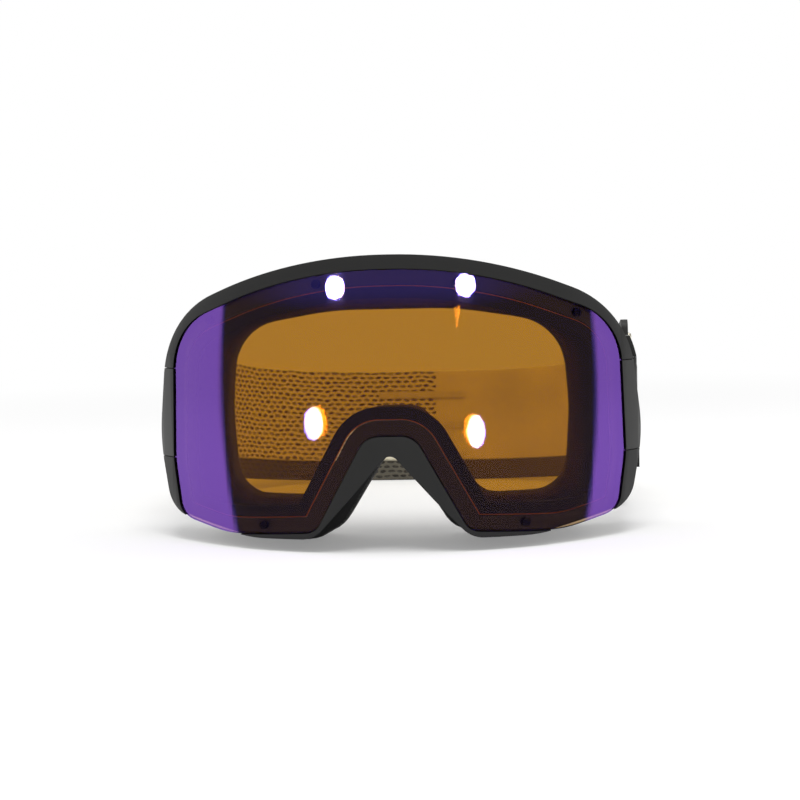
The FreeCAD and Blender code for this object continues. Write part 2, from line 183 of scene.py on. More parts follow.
def merged_copy(node: str, name: str) -> bpy.types.Object:
    """A copy of a CAD node with its loose triangles merged.

    Args:
        node: CAD node to copy.
        name: name of the new piece.

    Returns:
        The new object, at the origin.
    """
    obj = bpy.data.objects.new(name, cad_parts[node].data.copy())
    bpy.context.scene.collection.objects.link(obj)
    obj.data.materials.clear()
    only(obj)
    if obj.data.has_custom_normals:
        bpy.ops.mesh.customdata_custom_splitnormals_clear()
    bpy.ops.object.mode_set(mode="EDIT")
    bpy.ops.mesh.select_all(action="SELECT")
    bpy.ops.mesh.remove_doubles(threshold=2e-6)
    bpy.ops.object.mode_set(mode="OBJECT")
    return obj


def eased_copy(node: str, width: float, angle: float = 40.0) -> bpy.types.Object:
    """A copy of a hard CAD node whose sharp edges are broken, as a mould leaves them.

    Args:
        node: CAD node to copy.
        width: width of the broken edge.
        angle: edges sharper than this many degrees are broken.

    Returns:
        The eased piece.
    """
    obj = merged_copy(node, f"{node}_eased")
    bpy.ops.object.mode_set(mode="EDIT")
    bpy.ops.mesh.select_all(action="SELECT")
    bpy.ops.mesh.dissolve_limited(angle_limit=math.radians(1.0))
    bpy.ops.object.mode_set(mode="OBJECT")
    edge = obj.modifiers.new("eased_edge", "BEVEL")
    edge.width = width
    edge.segments = 2
    edge.limit_method = "ANGLE"
    edge.angle_limit = math.radians(angle)
    apply_all(obj)
    smooth(obj, 35)
    return obj


def apply_all(obj: bpy.types.Object) -> None:
    """Applies every modifier of a piece in order."""
    only(obj)
    for modifier in list(obj.modifiers):
        bpy.ops.object.modifier_apply(modifier=modifier.name)


def smooth(obj: bpy.types.Object, degrees: float) -> None:
    """Shades smooth up to the given edge angle."""
    only(obj)
    bpy.ops.object.shade_smooth_by_angle(angle=math.radians(degrees))


def settle(obj: bpy.types.Object, body: str, replaced: Sequence[str]) -> None:
    """Rides a finished piece on its body and hides the CAD nodes it stands for.

    Args:
        obj: finished piece.
        body: body it rides on.
        replaced: CAD nodes that it stands for.
    """
    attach(obj, body)
    if replaced:
        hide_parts(*replaced)
    LOG.info("%s rides on %s, %d faces", obj.name, body, len(obj.data.polygons))


def dress(names: Sequence[str], material: bpy.types.Material) -> None:
    """Gives carried-over CAD nodes their finish.

    Args:
        names: CAD nodes.
        material: finish for every slot.
    """
    for name in names:
        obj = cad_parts[name]
        for slot in obj.material_slots:
            slot.material = material
        LOG.info("%s gets %s", name, material.name)


# ------------------------------------------------------------------ finishes
@dataclass(frozen=True)
class Moulded:
    """Moulded plastic with a fine spark-eroded grain.

    Attributes:
        name: material name.
        colour: sRGB hex.
        roughness: mean roughness.
        grain_mm: grain size of the mould texture.
        depth_mm: grain depth.
        gloss: strength of the highlights, 0.5 for bare polished plastic.
    """

    name: str
    colour: str
    roughness: float
    grain_mm: float = 0.9
    depth_mm: float = 0.02
    gloss: float = 0.3

    def make(self) -> bpy.types.Material:
        """Builds the material."""
        material, tree = blank(self.name)
        place = add(tree, "TexCoord").outputs["Object"]
        cloud = noise(tree, place, 45.0, 3.0)
        grain = noise(tree, place, 1 / (self.grain_mm * MM))
        colour = ramp(tree, cloud, (0.3, linear(self.colour, 0.8)), (0.7, linear(self.colour, 1.2)))
        rough = remap(tree, cloud, (0.3, 0.7), (self.roughness - 0.05, self.roughness + 0.05))
        surface(tree, {"Base Color": colour, "Roughness": rough, "Specular IOR Level": self.gloss,
                       "Normal": relief(tree, grain, self.depth_mm, 0.5)})
        return material


@dataclass(frozen=True)
class Metal:
    """Turned or plated metal with faint turning marks.

    Attributes:
        name: material name.
        colour: sRGB hex of the metal.
        roughness: mean roughness.
    """

    name: str
    colour: str
    roughness: float

    def make(self) -> bpy.types.Material:
        """Builds the material."""
        material, tree = blank(self.name)
        marks = noise(tree, add(tree, "TexCoord").outputs["Object"], 2500.0, 1.0)
        rough = remap(tree, marks, (0.0, 1.0), (self.roughness - 0.08, self.roughness + 0.08))
        surface(tree, {"Base Color": linear(self.colour), "Metallic": 1.0, "Roughness": rough})
        return material


@dataclass(frozen=True)
class Foam:
    """Open-cell polyurethane foam: pores painted dark as shade and cell walls painted light.

    Attributes:
        name: material name.
        colour: sRGB hex of the cell walls.
        cell_mm: size of a cell, drawn coarse enough to show.
        depth_mm: depth of the pores.
    """

    name: str
    colour: str
    cell_mm: float = 0.9
    depth_mm: float = 0.35

    def make(self) -> bpy.types.Material:
        """Builds the material."""
        material, tree = blank(self.name)
        place = add(tree, "TexCoord").outputs["Object"]
        cell = self.cell_mm * MM
        cells = add(tree, "TexVoronoi", {"Vector": place, "Scale": 1 / cell, "Randomness": 1.0})
        fleck = noise(tree, place, 1 / (1.4 * cell), 3.0)
        pores = calc(tree, "MULTIPLY", cells.outputs["Distance"], fleck)
        # Painted shade in the pores and painted light on the cell walls, from the same pattern as the bump.
        colour = ramp(tree, pores, (0.08, linear(self.colour, 0.22)), (0.22, linear(self.colour)),
                      (0.42, linear(self.colour, 1.9)))
        surface(tree, {"Base Color": colour, "Roughness": 0.95, "Sheen Weight": 0.15,
                       "Normal": relief(tree, pores, self.depth_mm)})
        return material


@dataclass(frozen=True)
class Fleece:
    """Brushed microfleece: short matted pile with a soft sheen, with painted shade in its hollows and
    painted light on its tufts.
    """

    name: str = "brushed_microfleece"
    colour: str = "2c2c2b"

    def make(self) -> bpy.types.Material:
        """Builds the material."""
        material, tree = blank(self.name)
        place = add(tree, "TexCoord").outputs["Object"]
        pile = calc(tree, "MULTIPLY", noise(tree, place, 900.0, 4.0, 0.7), noise(tree, place, 160.0))
        # Painted shade and light: the pile is darker where it is low and lighter where it is high, the same
        # pattern that gives its bump.
        colour = ramp(tree, pile, (0.12, linear(self.colour, 0.5)), (0.4, linear(self.colour, 1.8)))
        surface(tree, {"Base Color": colour, "Roughness": 1.0, "Sheen Weight": 0.5, "Sheen Roughness": 0.5,
                       "Normal": relief(tree, pile, 0.3, 0.8)})
        return material


def dark_border(tree: Tree, colour: Socket) -> Socket:
    """Darkens the lower border of the strap, where charcoal yarn runs along the edge.

    Args:
        tree: node tree of a strap material.
        colour: colour of the strap.

    Returns:
        The colour with its border.
    """
    flat = add(tree, "SeparateXYZ", {"Vector": add(tree, "UVMap", uv_map="UVMap").outputs["UV"]}).outputs
    tone = ramp(tree, remap(tree, flat["Y"], BORDER), (0.0, linear("5d5b57")), (1.0, linear("ffffff")))
    mix = add(tree, "Mix", {0: 1.0, 6: colour, 7: tone}, data_type="RGBA", blend_type="MULTIPLY")
    return mix.outputs[2]


@dataclass(frozen=True)
class Knit:
    """Knitted elastic webbing: rows of loops with a short hole under each, painted dark as shade.

    Attributes:
        name: material name.
        yarn: sRGB hex of the yarn.
        gap: sRGB hex of the painted shade in the holes.
        stitch_mm: length of a stitch, drawn coarse enough to show.
        row_mm: height of a row.
        wander_mm: how far the loops stray.
    """

    name: str = "knitted_elastic_webbing"
    yarn: str = "f3ecd8"
    gap: str = "5c523c"
    stitch_mm: float = 3.7
    row_mm: float = 2.05
    wander_mm: float = 2.4

    def cell(self, tree: Tree, at: Socket, shift: Socket | float, half: float) -> Socket:
        """Square of the distance from the middle of a repeating cell, 1 at the edge of the hole.

        Args:
            tree: node tree of the material.
            at: place along one direction, in cells.
            shift: shift of the cells.
            half: half size of the hole, in cells.

        Returns:
            The squared distance.
        """
        off = calc(tree, "SUBTRACT", calc(tree, "FRACT", calc(tree, "ADD", at, shift)), 0.5)
        return calc(tree, "POWER", calc(tree, "DIVIDE", off, half), 2.0)

    def make(self) -> bpy.types.Material:
        """Builds the material."""
        material, tree = blank(self.name)
        place = add(tree, "UVMap", uv_map="UVMap").outputs["UV"]
        stray = add(tree, "TexNoise", {"Vector": place, "Scale": 170.0, "Detail": 3.0})
        pull = add(tree, "VectorMath", {0: stray.outputs["Color"], "Scale": self.wander_mm * MM},
                   operation="SCALE")
        laid = add(tree, "VectorMath", {0: place, 1: pull.outputs["Vector"]}, operation="ADD")
        flat = add(tree, "SeparateXYZ", {"Vector": laid.outputs["Vector"]}).outputs
        row = calc(tree, "DIVIDE", flat["Y"], self.row_mm * MM)
        stitch = calc(tree, "DIVIDE", flat["X"], self.stitch_mm * MM)
        # Every row starts half a stitch further on than the one below it.
        half = calc(tree, "MULTIPLY", calc(tree, "FLOOR", row), 0.5)
        away = calc(tree, "ADD", self.cell(tree, stitch, half, 0.42), self.cell(tree, row, 0.0, 0.33))
        hole = remap(tree, away, (0.25, 1.3), ease=True)
        # Fluff closes some of the holes.
        fluff = remap(tree, noise(tree, place, 330.0, 4.0), (0.35, 0.6), (0.55, 0.0))
        # Painted shade: the holes take the dark gap colour and the loops darken towards them; the same
        # pattern gives the bump.
        colour = ramp(tree, calc(tree, "MAXIMUM", hole, fluff), (0.0, linear(self.gap)),
                      (0.6, linear(self.yarn, 0.6)), (1.0, linear(self.yarn)))
        surface(tree, {"Base Color": dark_border(tree, colour), "Roughness": 0.9, "Sheen Weight": 0.2,
                       "Normal": relief(tree, hole, 0.4)})
        return material


@dataclass(frozen=True)
class Tape:
    """Smooth woven lining tape, cream, with a fine twill and soft creases that are painted darker as shade.
    """

    name: str = "woven_lining_tape"
    colour: str = "fbf3da"

    def make(self) -> bpy.types.Material:
        """Builds the material."""
        material, tree = blank(self.name)
        place = add(tree, "UVMap", uv_map="UVMap").outputs["UV"]
        twill = add(tree, "TexWave", {"Vector": place, "Scale": 320.0, "Distortion": 0.5},
                    bands_direction="DIAGONAL")
        crease = noise(tree, place, 35.0)
        # Painted shade: the colour darkens where the crease noise is low, the same noise that gives the
        # creases their bump.
        colour = ramp(tree, crease, (0.3, linear(self.colour, 0.8)), (0.65, linear(self.colour)))
        tall = calc(tree, "ADD", calc(tree, "MULTIPLY", twill.outputs["Fac"], 0.12), crease)
        surface(tree, {"Base Color": dark_border(tree, colour), "Roughness": 0.7, "Sheen Weight": 0.1,
                       "Normal": relief(tree, tall, 0.5, 0.6)})
        return material


@dataclass(frozen=True)
class Silicone:
    """Clear silicone, printed as soft rubbery lines that take the colour of the strap."""

    name: str = "printed_silicone"

    def make(self) -> bpy.types.Material:
        """Builds the material."""
        material, tree = blank(self.name)
        blot = noise(tree, add(tree, "TexCoord").outputs["Object"], 300.0)
        colour = ramp(tree, blot, (0.3, linear("e6dcc0")), (0.7, linear("f2e9cf")))
        surface(tree, {"Base Color": colour, "Roughness": 0.35, "IOR": 1.41, "Subsurface Weight": 0.1})
        return material


@dataclass(frozen=True)
class TintedPane:
    """Tinted polycarbonate: each of its two faces carries the square root of the tint.

    Attributes:
        name: material name.
        tint: share of red, green and blue that one whole lens lets through.
        sheen: sRGB hex of the faint reflection of an uncoated face.
        square_on: share of light that such a face throws back when seen square on.
    """

    name: str
    tint: tuple[float, float, float]
    sheen: str = "ffffff"
    square_on: float = 0.018

    def glaze(self, tree: Tree, share: Socket, sheen: Socket | Colour) -> None:
        """Ends a pane: it throws this share back in its sheen and lets the rest through its tint."""
        through = add(tree, "BsdfTransparent", {"Color": tuple(math.sqrt(c) for c in self.tint) + (1.0,)})
        gloss = add(tree, "BsdfPrincipled", {"Base Color": sheen, "Metallic": 1.0, "Roughness": 0.02})
        mix = add(tree, "MixShader", {0: share, 1: through.outputs["BSDF"], 2: gloss.outputs["BSDF"]})
        add(tree, "OutputMaterial", {"Surface": mix.outputs["Shader"]})

    def make(self) -> bpy.types.Material:
        """Builds the material."""
        material, tree = blank(self.name)
        slope = add(tree, "LayerWeight", {"Blend": 0.5}).outputs["Facing"]
        # The rise towards a grazing view, in Schlick's form.
        rise = calc(tree, "POWER", slope, 5.0)
        share = calc(tree, "MULTIPLY_ADD", rise, 1.0 - self.square_on, self.square_on)
        self.glaze(tree, share, linear(self.sheen))
        return material


@dataclass(frozen=True)
class MirrorCoat(TintedPane):
    """Vapour-deposited mirror on tinted polycarbonate.

    The layer is navy and weak when seen square on, and turns violet and strong at a slant. It is laid
    thicker across the brow and thinner towards the top and bottom of the sides.

    Attributes:
        base: share of light that it throws back square on.
        slant: share at a slant.
        turn: facing value at which the slant sets in, at mid height.
        turn_width: how much more of it brings the full share.
        height: height of the whole lens.
        bow: how much earlier the slant sets in at the top and bottom.
        brow: heights between which the thicker brow band sets in.
        brow_share: share across the brow.
        brow_reach: distances to the side between which that band gets thinner.
        navy: linear colour square on.
        violet: linear colour at a slant.
    """

    base: float = 0.012
    slant: float = 0.43
    turn: float = 0.283
    turn_width: float = 0.03
    height: float = 100 * MM
    bow: float = 0.045
    brow: tuple[float, float] = (80 * MM, 90 * MM)
    brow_share: float = 0.085
    brow_reach: tuple[float, float] = (20 * MM, 50 * MM)
    navy: Colour = (0.14, 0.11, 0.85, 1.0)
    violet: Colour = (0.36, 0.15, 0.86, 1.0)

    def make(self) -> bpy.types.Material:
        """Builds the material."""
        material, tree = blank(self.name)
        place = add(tree, "SeparateXYZ", {"Vector": add(tree, "TexCoord").outputs["Object"]}).outputs
        slope = add(tree, "LayerWeight", {"Blend": 0.5}).outputs["Facing"]
        high = remap(tree, place["Z"], (0.0, self.height), (-1.0, 1.0))
        reach = calc(tree, "MULTIPLY_ADD", calc(tree, "POWER", high, 2.0), self.bow, slope)
        side = remap(tree, reach, (self.turn, self.turn + self.turn_width), (self.base, self.slant), True)
        brow = remap(tree, place["Z"], self.brow, (0.0, self.brow_share), True)
        fade = remap(tree, calc(tree, "ABSOLUTE", place["X"]), self.brow_reach, (1.0, 0.3), True)
        share = calc(tree, "MAXIMUM", side, calc(tree, "MULTIPLY", brow, fade))
        self.glaze(tree, share, ramp(tree, side, (0.05, self.navy), (0.3, self.violet)))
        return material


# ------------------------------------------------------------------ lens pack
@dataclass
class LensPack:
    """The dual lens: coated outer lens, spacer gasket, amber inner lens and magnets.

    Attributes:
        outer_radius: outer face of the outer lens.
        outer_thick: outer lens.
        gasket_thick: spacer.
        inner_thick: inner lens.
        strip: width of the upright facets that the curve is cut into.
        bead: radius of the glue bead round the spacer.
        sunk: how far the bead's middle lies behind the spacer's face, in bead radii.
        clear: film of glue between spacer and lenses.
        reach: vertices this near a face of the lens are put on it; magnet pockets end deeper.
    """

    outer_radius: float = 105.0 * MM
    outer_thick: float = 1.8 * MM
    gasket_thick: float = 4.0 * MM
    inner_thick: float = 1.0 * MM
    strip: float = 2.0 * MM
    bead: float = 0.3 * MM
    sunk: float = 1.1
    clear: float = 0.04 * MM
    reach: float = 0.45 * MM
    axis_y: float = field(init=False)

    def __post_init__(self) -> None:
        """Finds the lens axis from the apex of the outer lens."""
        self.axis_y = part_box("outer_lens")[0].y + self.outer_radius

    def rounded(self, node: str, name: str, outer: float, inner: float) -> bpy.types.Object:
        """A lens copy, cut into narrow upright strips that lie on its true radii.

        Args:
            node: CAD node to copy.
            name: name of the piece.
            outer: front radius.
            inner: back radius.

        Returns:
            The refined piece.
        """
        obj = merged_copy(node, name)
        low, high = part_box(node)
        bpy.ops.object.mode_set(mode="EDIT")
        count = int((high.x - low.x) / self.strip)
        for i in range(1, count):
            x = low.x + (high.x - low.x) * i / count
            bpy.ops.mesh.select_all(action="SELECT")
            bpy.ops.mesh.bisect(plane_co=(x, 0, 0), plane_no=(1, 0, 0))
        bpy.ops.object.mode_set(mode="OBJECT")
        for vertex in obj.data.vertices:
            dx, dy = vertex.co.x, vertex.co.y - self.axis_y
            r = math.hypot(dx, dy)
            true = min((outer, inner), key=lambda radius: abs(radius - r))
            if abs(true - r) < self.reach:
                vertex.co.x, vertex.co.y = dx * true / r, self.axis_y + dy * true / r
        obj.data.update()
        return obj

    def front_faces(self, obj: bpy.types.Object, sign: float) -> list[bpy.types.MeshPolygon]:
        """Faces of a lens that look away from the axis (sign 1) or towards it (sign -1)."""
        found = []
        for face in obj.data.polygons:
            out = Vector((face.center.x, face.center.y - self.axis_y, 0)).normalized()
            if face.normal.dot(out) * sign > 0.8:
                found.append(face)
        return found

    def finish_faces(self, obj: bpy.types.Object, front: int) -> None:
        """Gives a lens its see-through faces and its dull ground edges.

        Args:
            obj: lens whose last material is the ground edge.
            front: material number of its front face.
        """
        for face in obj.data.polygons:
            face.material_index = len(obj.data.materials) - 1
        for face in self.front_faces(obj, 1.0):
            face.material_index = front
        for face in self.front_faces(obj, -1.0):
            face.material_index = 0

    def rim_loop(self, obj: bpy.types.Object, faces: Sequence[bpy.types.MeshPolygon]) -> set[int]:
        """Vertices on the longest edge loop round a patch of faces.

        Args:
            obj: the piece.
            faces: the patch.

        Returns:
            Vertex indices of its outer boundary.
        """
        uses: dict[tuple[int, int], int] = {}
        for face in faces:
            for key in face.edge_keys:
                uses[key] = uses.get(key, 0) + 1
        around: dict[int, list[int]] = {}
        for (a, b), count in uses.items():
            if count == 1:
                around.setdefault(a, []).append(b)
                around.setdefault(b, []).append(a)
        loops = []
        left = set(around)
        while left:
            stack, loop = [next(iter(left))], set()
            while stack:
                at = stack.pop()
                if at not in loop:
                    loop.add(at)
                    stack.extend(around[at])
            left -= loop
            loops.append(loop)

        def length(loop: set[int]) -> float:
            at = [vertex.co for vertex in obj.data.vertices]
            return sum((at[a] - at[b]).length for a in loop for b in around[a])

        return max(loops, key=length)

    def glue_bead(self, gasket: bpy.types.Object) -> bpy.types.Object:
        """The bead of amber glue that squeezes out along the spacer's outer edge.

        Args:
            gasket: the spacer.

        Returns:
            A thin tube just behind the outer lens.
        """
        edge = self.rim_loop(gasket, self.front_faces(gasket, 1.0))
        only(gasket)
        bpy.ops.object.mode_set(mode="EDIT")
        bpy.ops.mesh.select_mode(type="EDGE")
        bpy.ops.mesh.select_all(action="DESELECT")
        bpy.ops.object.mode_set(mode="OBJECT")
        for line in gasket.data.edges:
            line.select = line.vertices[0] in edge and line.vertices[1] in edge
        bpy.ops.object.mode_set(mode="EDIT")
        bpy.ops.mesh.duplicate()
        bpy.ops.mesh.separate(type="SELECTED")
        bpy.ops.object.mode_set(mode="OBJECT")
        bead = next(obj for obj in bpy.context.selected_objects if obj is not gasket)
        bead.name = "glue_bead"
        for vertex in bead.data.vertices:
            out = Vector((vertex.co.x, vertex.co.y - self.axis_y, 0)).normalized()
            vertex.co -= out * self.sunk * self.bead
        only(bead)
        bpy.ops.object.convert(target="CURVE")
        bead.data.bevel_depth = self.bead
        bead.data.bevel_resolution = 2
        bpy.ops.object.convert(target="MESH")
        return bead

    def spacer(self, outer: float, inner: float) -> None:
        """Makes the foam spacer with the amber glue bead along its outer edge."""
        gasket = self.rounded("lens_gasket", "spacer_gasket", outer - self.clear, inner + self.clear)
        # Skinned foam: near black and dull, so it reads as the dark line inside the lens edge.
        skin = Moulded("closed_cell_spacer_foam", "0b090c", roughness=0.85, grain_mm=2.5, depth_mm=0.01,
                       gloss=0.08)
        gasket.data.materials.append(skin.make())
        bead = self.glue_bead(gasket)
        bead.data.materials.clear()
        # Set glue: a smooth orange thread with a small highlight.
        glue = Moulded("amber_glue", "c4711c", roughness=0.3, grain_mm=2.5, depth_mm=0.01)
        bead.data.materials.append(glue.make())
        smooth(bead, 60)
        smooth(gasket, 30)
        settle(gasket, Body.LENS.value, ["lens_gasket"])
        settle(bead, Body.LENS.value, [])

    def build(self) -> None:
        """Makes the outer lens, the spacer, the inner lens and the magnets."""
        r0 = self.outer_radius
        r1 = r0 - self.outer_thick
        r2 = r1 - self.gasket_thick
        outer = self.rounded("outer_lens", "mirror_lens", r0, r1)
        tint = (0.62, 0.42, 0.22)
        # Ground edge: matt and near black, so the cut edge of the lens draws a thin dark line.
        ground = Moulded("ground_lens_edge", "0c0a0e", roughness=0.7, grain_mm=2.5, depth_mm=0.01,
                         gloss=0.1).make()
        # Smoke back, mirrored front: brown to look through, violet where it is seen at a slant.
        outer.data.materials.append(TintedPane("smoke_polycarbonate", tint).make())
        outer.data.materials.append(MirrorCoat("violet_mirror_on_smoke_polycarbonate", tint).make())
        outer.data.materials.append(ground)
        self.finish_faces(outer, 1)
        smooth(outer, 30)
        settle(outer, Body.LENS.value, ["outer_lens"])
        inner = self.rounded("inner_lens", "amber_lens", r2, r2 - self.inner_thick)
        # Amber pane: takes the blue out, which turns the cream strap behind it orange.
        amber = TintedPane("amber_polycarbonate", (0.62, 0.42, 0.05), sheen="ffc84a", square_on=0.012)
        inner.data.materials.append(amber.make())
        inner.data.materials.append(ground)
        self.finish_faces(inner, 0)
        smooth(inner, 30)
        settle(inner, Body.LENS.value, ["inner_lens"])
        self.spacer(r1, r2)
        # Epoxy skin: dead matt black, so the magnets are lost in the spacer.
        epoxy = Moulded("black_epoxy_on_magnet", "070608", roughness=0.85, grain_mm=2.5, depth_mm=0.01,
                        gloss=0.05)
        dress(["lens_magnets"], epoxy.make())


# ------------------------------------------------------------------ soft parts
@dataclass
class FaceSeal:
    """The foam ring against the face and its fleece.

    Attributes:
        voxel: remesh size of the foam.
        fine: remesh size of the thin sheets.
        fill: how full the pads are; not used.
    """

    voxel: float = 1.6 * MM
    fine: float = 0.8 * MM
    fill: float = 0.8

    def soften(self, nodes: Sequence[str], name: str, voxel: float, rounds: int) -> bpy.types.Object:
        """Joins copies of CAD rings into one rounded soft piece.

        Args:
            nodes: CAD nodes to copy.
            name: name of the piece.
            voxel: remesh size.
            rounds: smoothing rounds.

        Returns:
            The soft piece.
        """
        parts = [merged_copy(node, f"{name}_{i}") for i, node in enumerate(nodes)]
        bpy.ops.object.select_all(action="DESELECT")
        for part in parts:
            part.select_set(True)
        bpy.context.view_layer.objects.active = parts[0]
        if len(parts) > 1:
            bpy.ops.object.join()
        obj = parts[0]
        obj.name = name
        mesh = obj.modifiers.new("remesh", "REMESH")
        mesh.mode = "VOXEL"
        mesh.voxel_size = voxel
        relax = obj.modifiers.new("relax", "SMOOTH")
        relax.factor = 0.5
        relax.iterations = rounds
        apply_all(obj)
        smooth(obj, 60)
        return obj

    def build(self) -> None:
        """Makes the foam pad, the fleece and the vent foams."""
        pad = self.soften(["face_foam_base", "face_foam_soft"], "face_pad", self.voxel, rounds=6)
        # Charcoal foam: its speckle is painted light on the cell walls over painted shade in the pores.
        pad.data.materials.append(Foam("open_cell_polyurethane_foam", "3b3b39").make())
        settle(pad, Body.FRAME.value, ["face_foam_base", "face_foam_soft"])
        fleece = self.soften(["face_fleece"], "fleece_facing", self.fine, rounds=3)
        # Fleece: no gloss highlight, only a soft light edge from its pile; its colour carries painted shade
        # in the hollows and painted light on the tufts.
        fleece.data.materials.append(Fleece().make())
        settle(fleece, Body.FRAME.value, ["face_fleece"])
        # Filter foam: darker and coarser than the pad.
        filters = Foam("reticulated_filter_foam", "2a2a2a", cell_mm=1.2, depth_mm=0.4).make()
        for node in ("brow_vent_foam", "cheek_vent_foam_left", "cheek_vent_foam_right"):
            strip = self.soften([node], f"{node}_strip", self.fine, rounds=2)
            strip.data.materials.append(filters)
            settle(strip, Body.FRAME.value, [node])


@dataclass
class Strap:
    """The knitted strap: one band round the back and a return on each side.

    Attributes:
        width: strap width.
        thick: strap thickness.
        bar_x: middle of the ear bar.
        wrap_y: middle of the wrap round the bar, behind the lens apex.
        wrap_r: radius of the strap's middle line round the bar.
        pivot_y: ear bar about which the strap droops, behind the lens apex.
        lean: inward lean of the sides, degrees.
        back: middle line of the band at the back.
        corner: corner radius.
        lift: height of the strap at the ears.
        droop: tilt of the whole strap, degrees.
        return_end: end of the return, in front of the slider's middle bar.
        gap: band to return.
        tape_start: where the lining tape starts, along the strap.
        tape_stop: where it ends, before the middle of the back.
        step: length of webbing between two rows of vertices.
        meat: share of the thickness that the webbing fills, so that its layers stay apart.
        selvedge: width of its broken edges.
    """

    width: float = 50 * MM
    thick: float = 1.6 * MM
    bar_x: float = 84.25 * MM
    wrap_y: float = 85.442 * MM
    wrap_r: float = 2.65 * MM
    pivot_y: float = 84.192 * MM
    lean: float = 5.0
    back: float = 204.0 * MM
    corner: float = 60.0 * MM
    lift: float = 45.0 * MM
    droop: float = 9.7181
    return_end: float = 113.4 * MM
    gap: float = 0.3 * MM
    tape_start: float = 60.0 * MM
    tape_stop: float = 7.0 * MM
    step: float = 2.5 * MM
    meat: float = 0.94
    selvedge: float = 0.45 * MM

    def path(self) -> tuple[Callable[[float], Vector], float]:
        """The band's middle line in plan, as a function of length, and its whole length."""
        tan = math.tan(math.radians(self.lean))
        start = Vector((self.bar_x + self.wrap_r, self.wrap_y))
        corner = Vector((start.x - (self.back - self.wrap_y) * tan, self.back))
        turn = math.radians(90 - self.lean)
        cut = self.corner * math.tan(turn / 2)
        along = (corner - start).normalized()
        side = (corner - start).length - cut
        arc = self.corner * turn
        total = 2 * side + 2 * arc + 2 * (corner.x - cut)

        def at(s: float) -> Vector:
            mirror = s > total / 2
            s = total - s if mirror else s
            if s < side:
                point = start + along * s
            elif s < side + arc:
                enter = start + along * side
                centre = enter + Vector((-along.y, along.x)) * self.corner
                point = centre + Matrix.Rotation((s - side) / self.corner, 2) @ (enter - centre)
            else:
                point = Vector((corner.x - cut - (s - side - arc), self.back))
            return Vector((-point.x, point.y)) if mirror else point

        return at, total

    def drooped(self, x: float, y: float, z: float) -> Vector:
        """Tilts a point with the strap; y is from the lens apex, z from the strap's middle."""
        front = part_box("outer_lens")[0].y
        a = -math.radians(self.droop)
        dy = y - self.pivot_y
        return Vector((x, self.pivot_y + dy * math.cos(a) - z * math.sin(a) + front,
                       self.lift + dy * math.sin(a) + z * math.cos(a)))

    def ribbon(self, name: str, length: float, place: Callable[[float, float], Vector]) -> bpy.types.Object:
        """A strip of webbing, woven flat and then laid along its place.

        Args:
            name: name of the piece.
            length: length along the strap.
            place: where a point (along, across) of the flat strip goes.

        Returns:
            The thick strip, with its flat size in metres as its UV map.
        """
        steps = max(24, int(length / self.step))
        bpy.ops.object.select_all(action="DESELECT")
        bpy.ops.mesh.primitive_grid_add(x_subdivisions=steps, y_subdivisions=20, size=1.0)
        obj = bpy.context.active_object
        obj.name = name
        uv = obj.data.uv_layers[0]
        uv.name = "UVMap"
        for loop in obj.data.loops:
            co = obj.data.vertices[loop.vertex_index].co
            uv.data[loop.index].uv = ((co.x + 0.5) * length, (co.y + 0.5) * self.width)
        for vertex in obj.data.vertices:
            vertex.co = place((vertex.co.x + 0.5) * length, vertex.co.y * self.width)
        obj.data.update()
        wall = obj.modifiers.new("wall", "SOLIDIFY")
        wall.thickness = self.thick * self.meat
        wall.offset = 0.0
        edge = obj.modifiers.new("selvedge", "BEVEL")
        edge.width = self.selvedge
        edge.segments = 2
        edge.limit_method = "ANGLE"
        edge.angle_limit = math.radians(60)
        apply_all(obj)
        smooth(obj, 50)
        return obj

    def band(self, knit: bpy.types.Material, tape: bpy.types.Material) -> None:
        """Makes the band, with its lining tape on part of the inner face."""
        at, total = self.path()

        def laid(s: float, across: float) -> Vector:
            point = at(s)
            return self.drooped(point.x, point.y, across)

        strap = self.ribbon("strap_webbing", total, laid)
        strap.data.materials.append(knit)
        strap.data.materials.append(tape)
        stop = total / 2 - self.tape_stop
        uv = strap.data.uv_layers["UVMap"].data
        low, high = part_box("strap_band")
        middle = (low.y + high.y) / 2
        for face in strap.data.polygons:
            along = sum((uv[i].uv.x for i in face.loop_indices)) / face.loop_total
            out = Vector((face.center.x, face.center.y - middle, 0)).normalized()
            inside = face.normal.dot(out) < -0.2
            face.material_index = 1 if inside and self.tape_start < along < stop else 0
        settle(strap, Body.FRAME.value, ["strap_band"])

    def strap_return(self, side: float, knit: bpy.types.Material) -> None:
        """Makes one return: round the ear bar and back to the slider.

        Args:
            side: 1 for the right, -1 for the left.
            knit: webbing finish.
        """
        tan = math.tan(math.radians(self.lean))
        wrap = math.pi * self.wrap_r
        start = Vector((self.bar_x - self.wrap_r, self.wrap_y))
        band_x = self.bar_x + self.wrap_r - (self.return_end - self.wrap_y) * tan
        end = Vector((band_x - self.thick - self.gap, self.return_end))
        leg = (end - start).length

        def laid(s: float, across: float) -> Vector:
            if s < wrap:
                a = s / self.wrap_r
                point = Vector((self.bar_x + self.wrap_r * math.cos(a),
                                self.wrap_y - self.wrap_r * math.sin(a)))
            else:
                point = start.lerp(end, (s - wrap) / leg)
            return self.drooped(side * point.x, point.y, across)

        name = "right" if side > 0 else "left"
        obj = self.ribbon(f"strap_return_{name}_webbing", wrap + leg, laid)
        obj.data.materials.append(knit)
        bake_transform(obj)
        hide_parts(f"strap_return_{name}")

    def build(self) -> None:
        """Makes the band and both returns, and dresses the grip lines."""
        # Cream elastic: rows of small holes, painted dark as shade, make it read as knitted.
        knit = Knit().make()
        # The lining tape beside it is plain, smoother and a little shinier.
        self.band(knit, Tape().make())
        for side in (1.0, -1.0):
            self.strap_return(side, knit)
        # Clear silicone: the strap's own colour with a wet shine.
        dress(["silicone_grip"], Silicone().make())


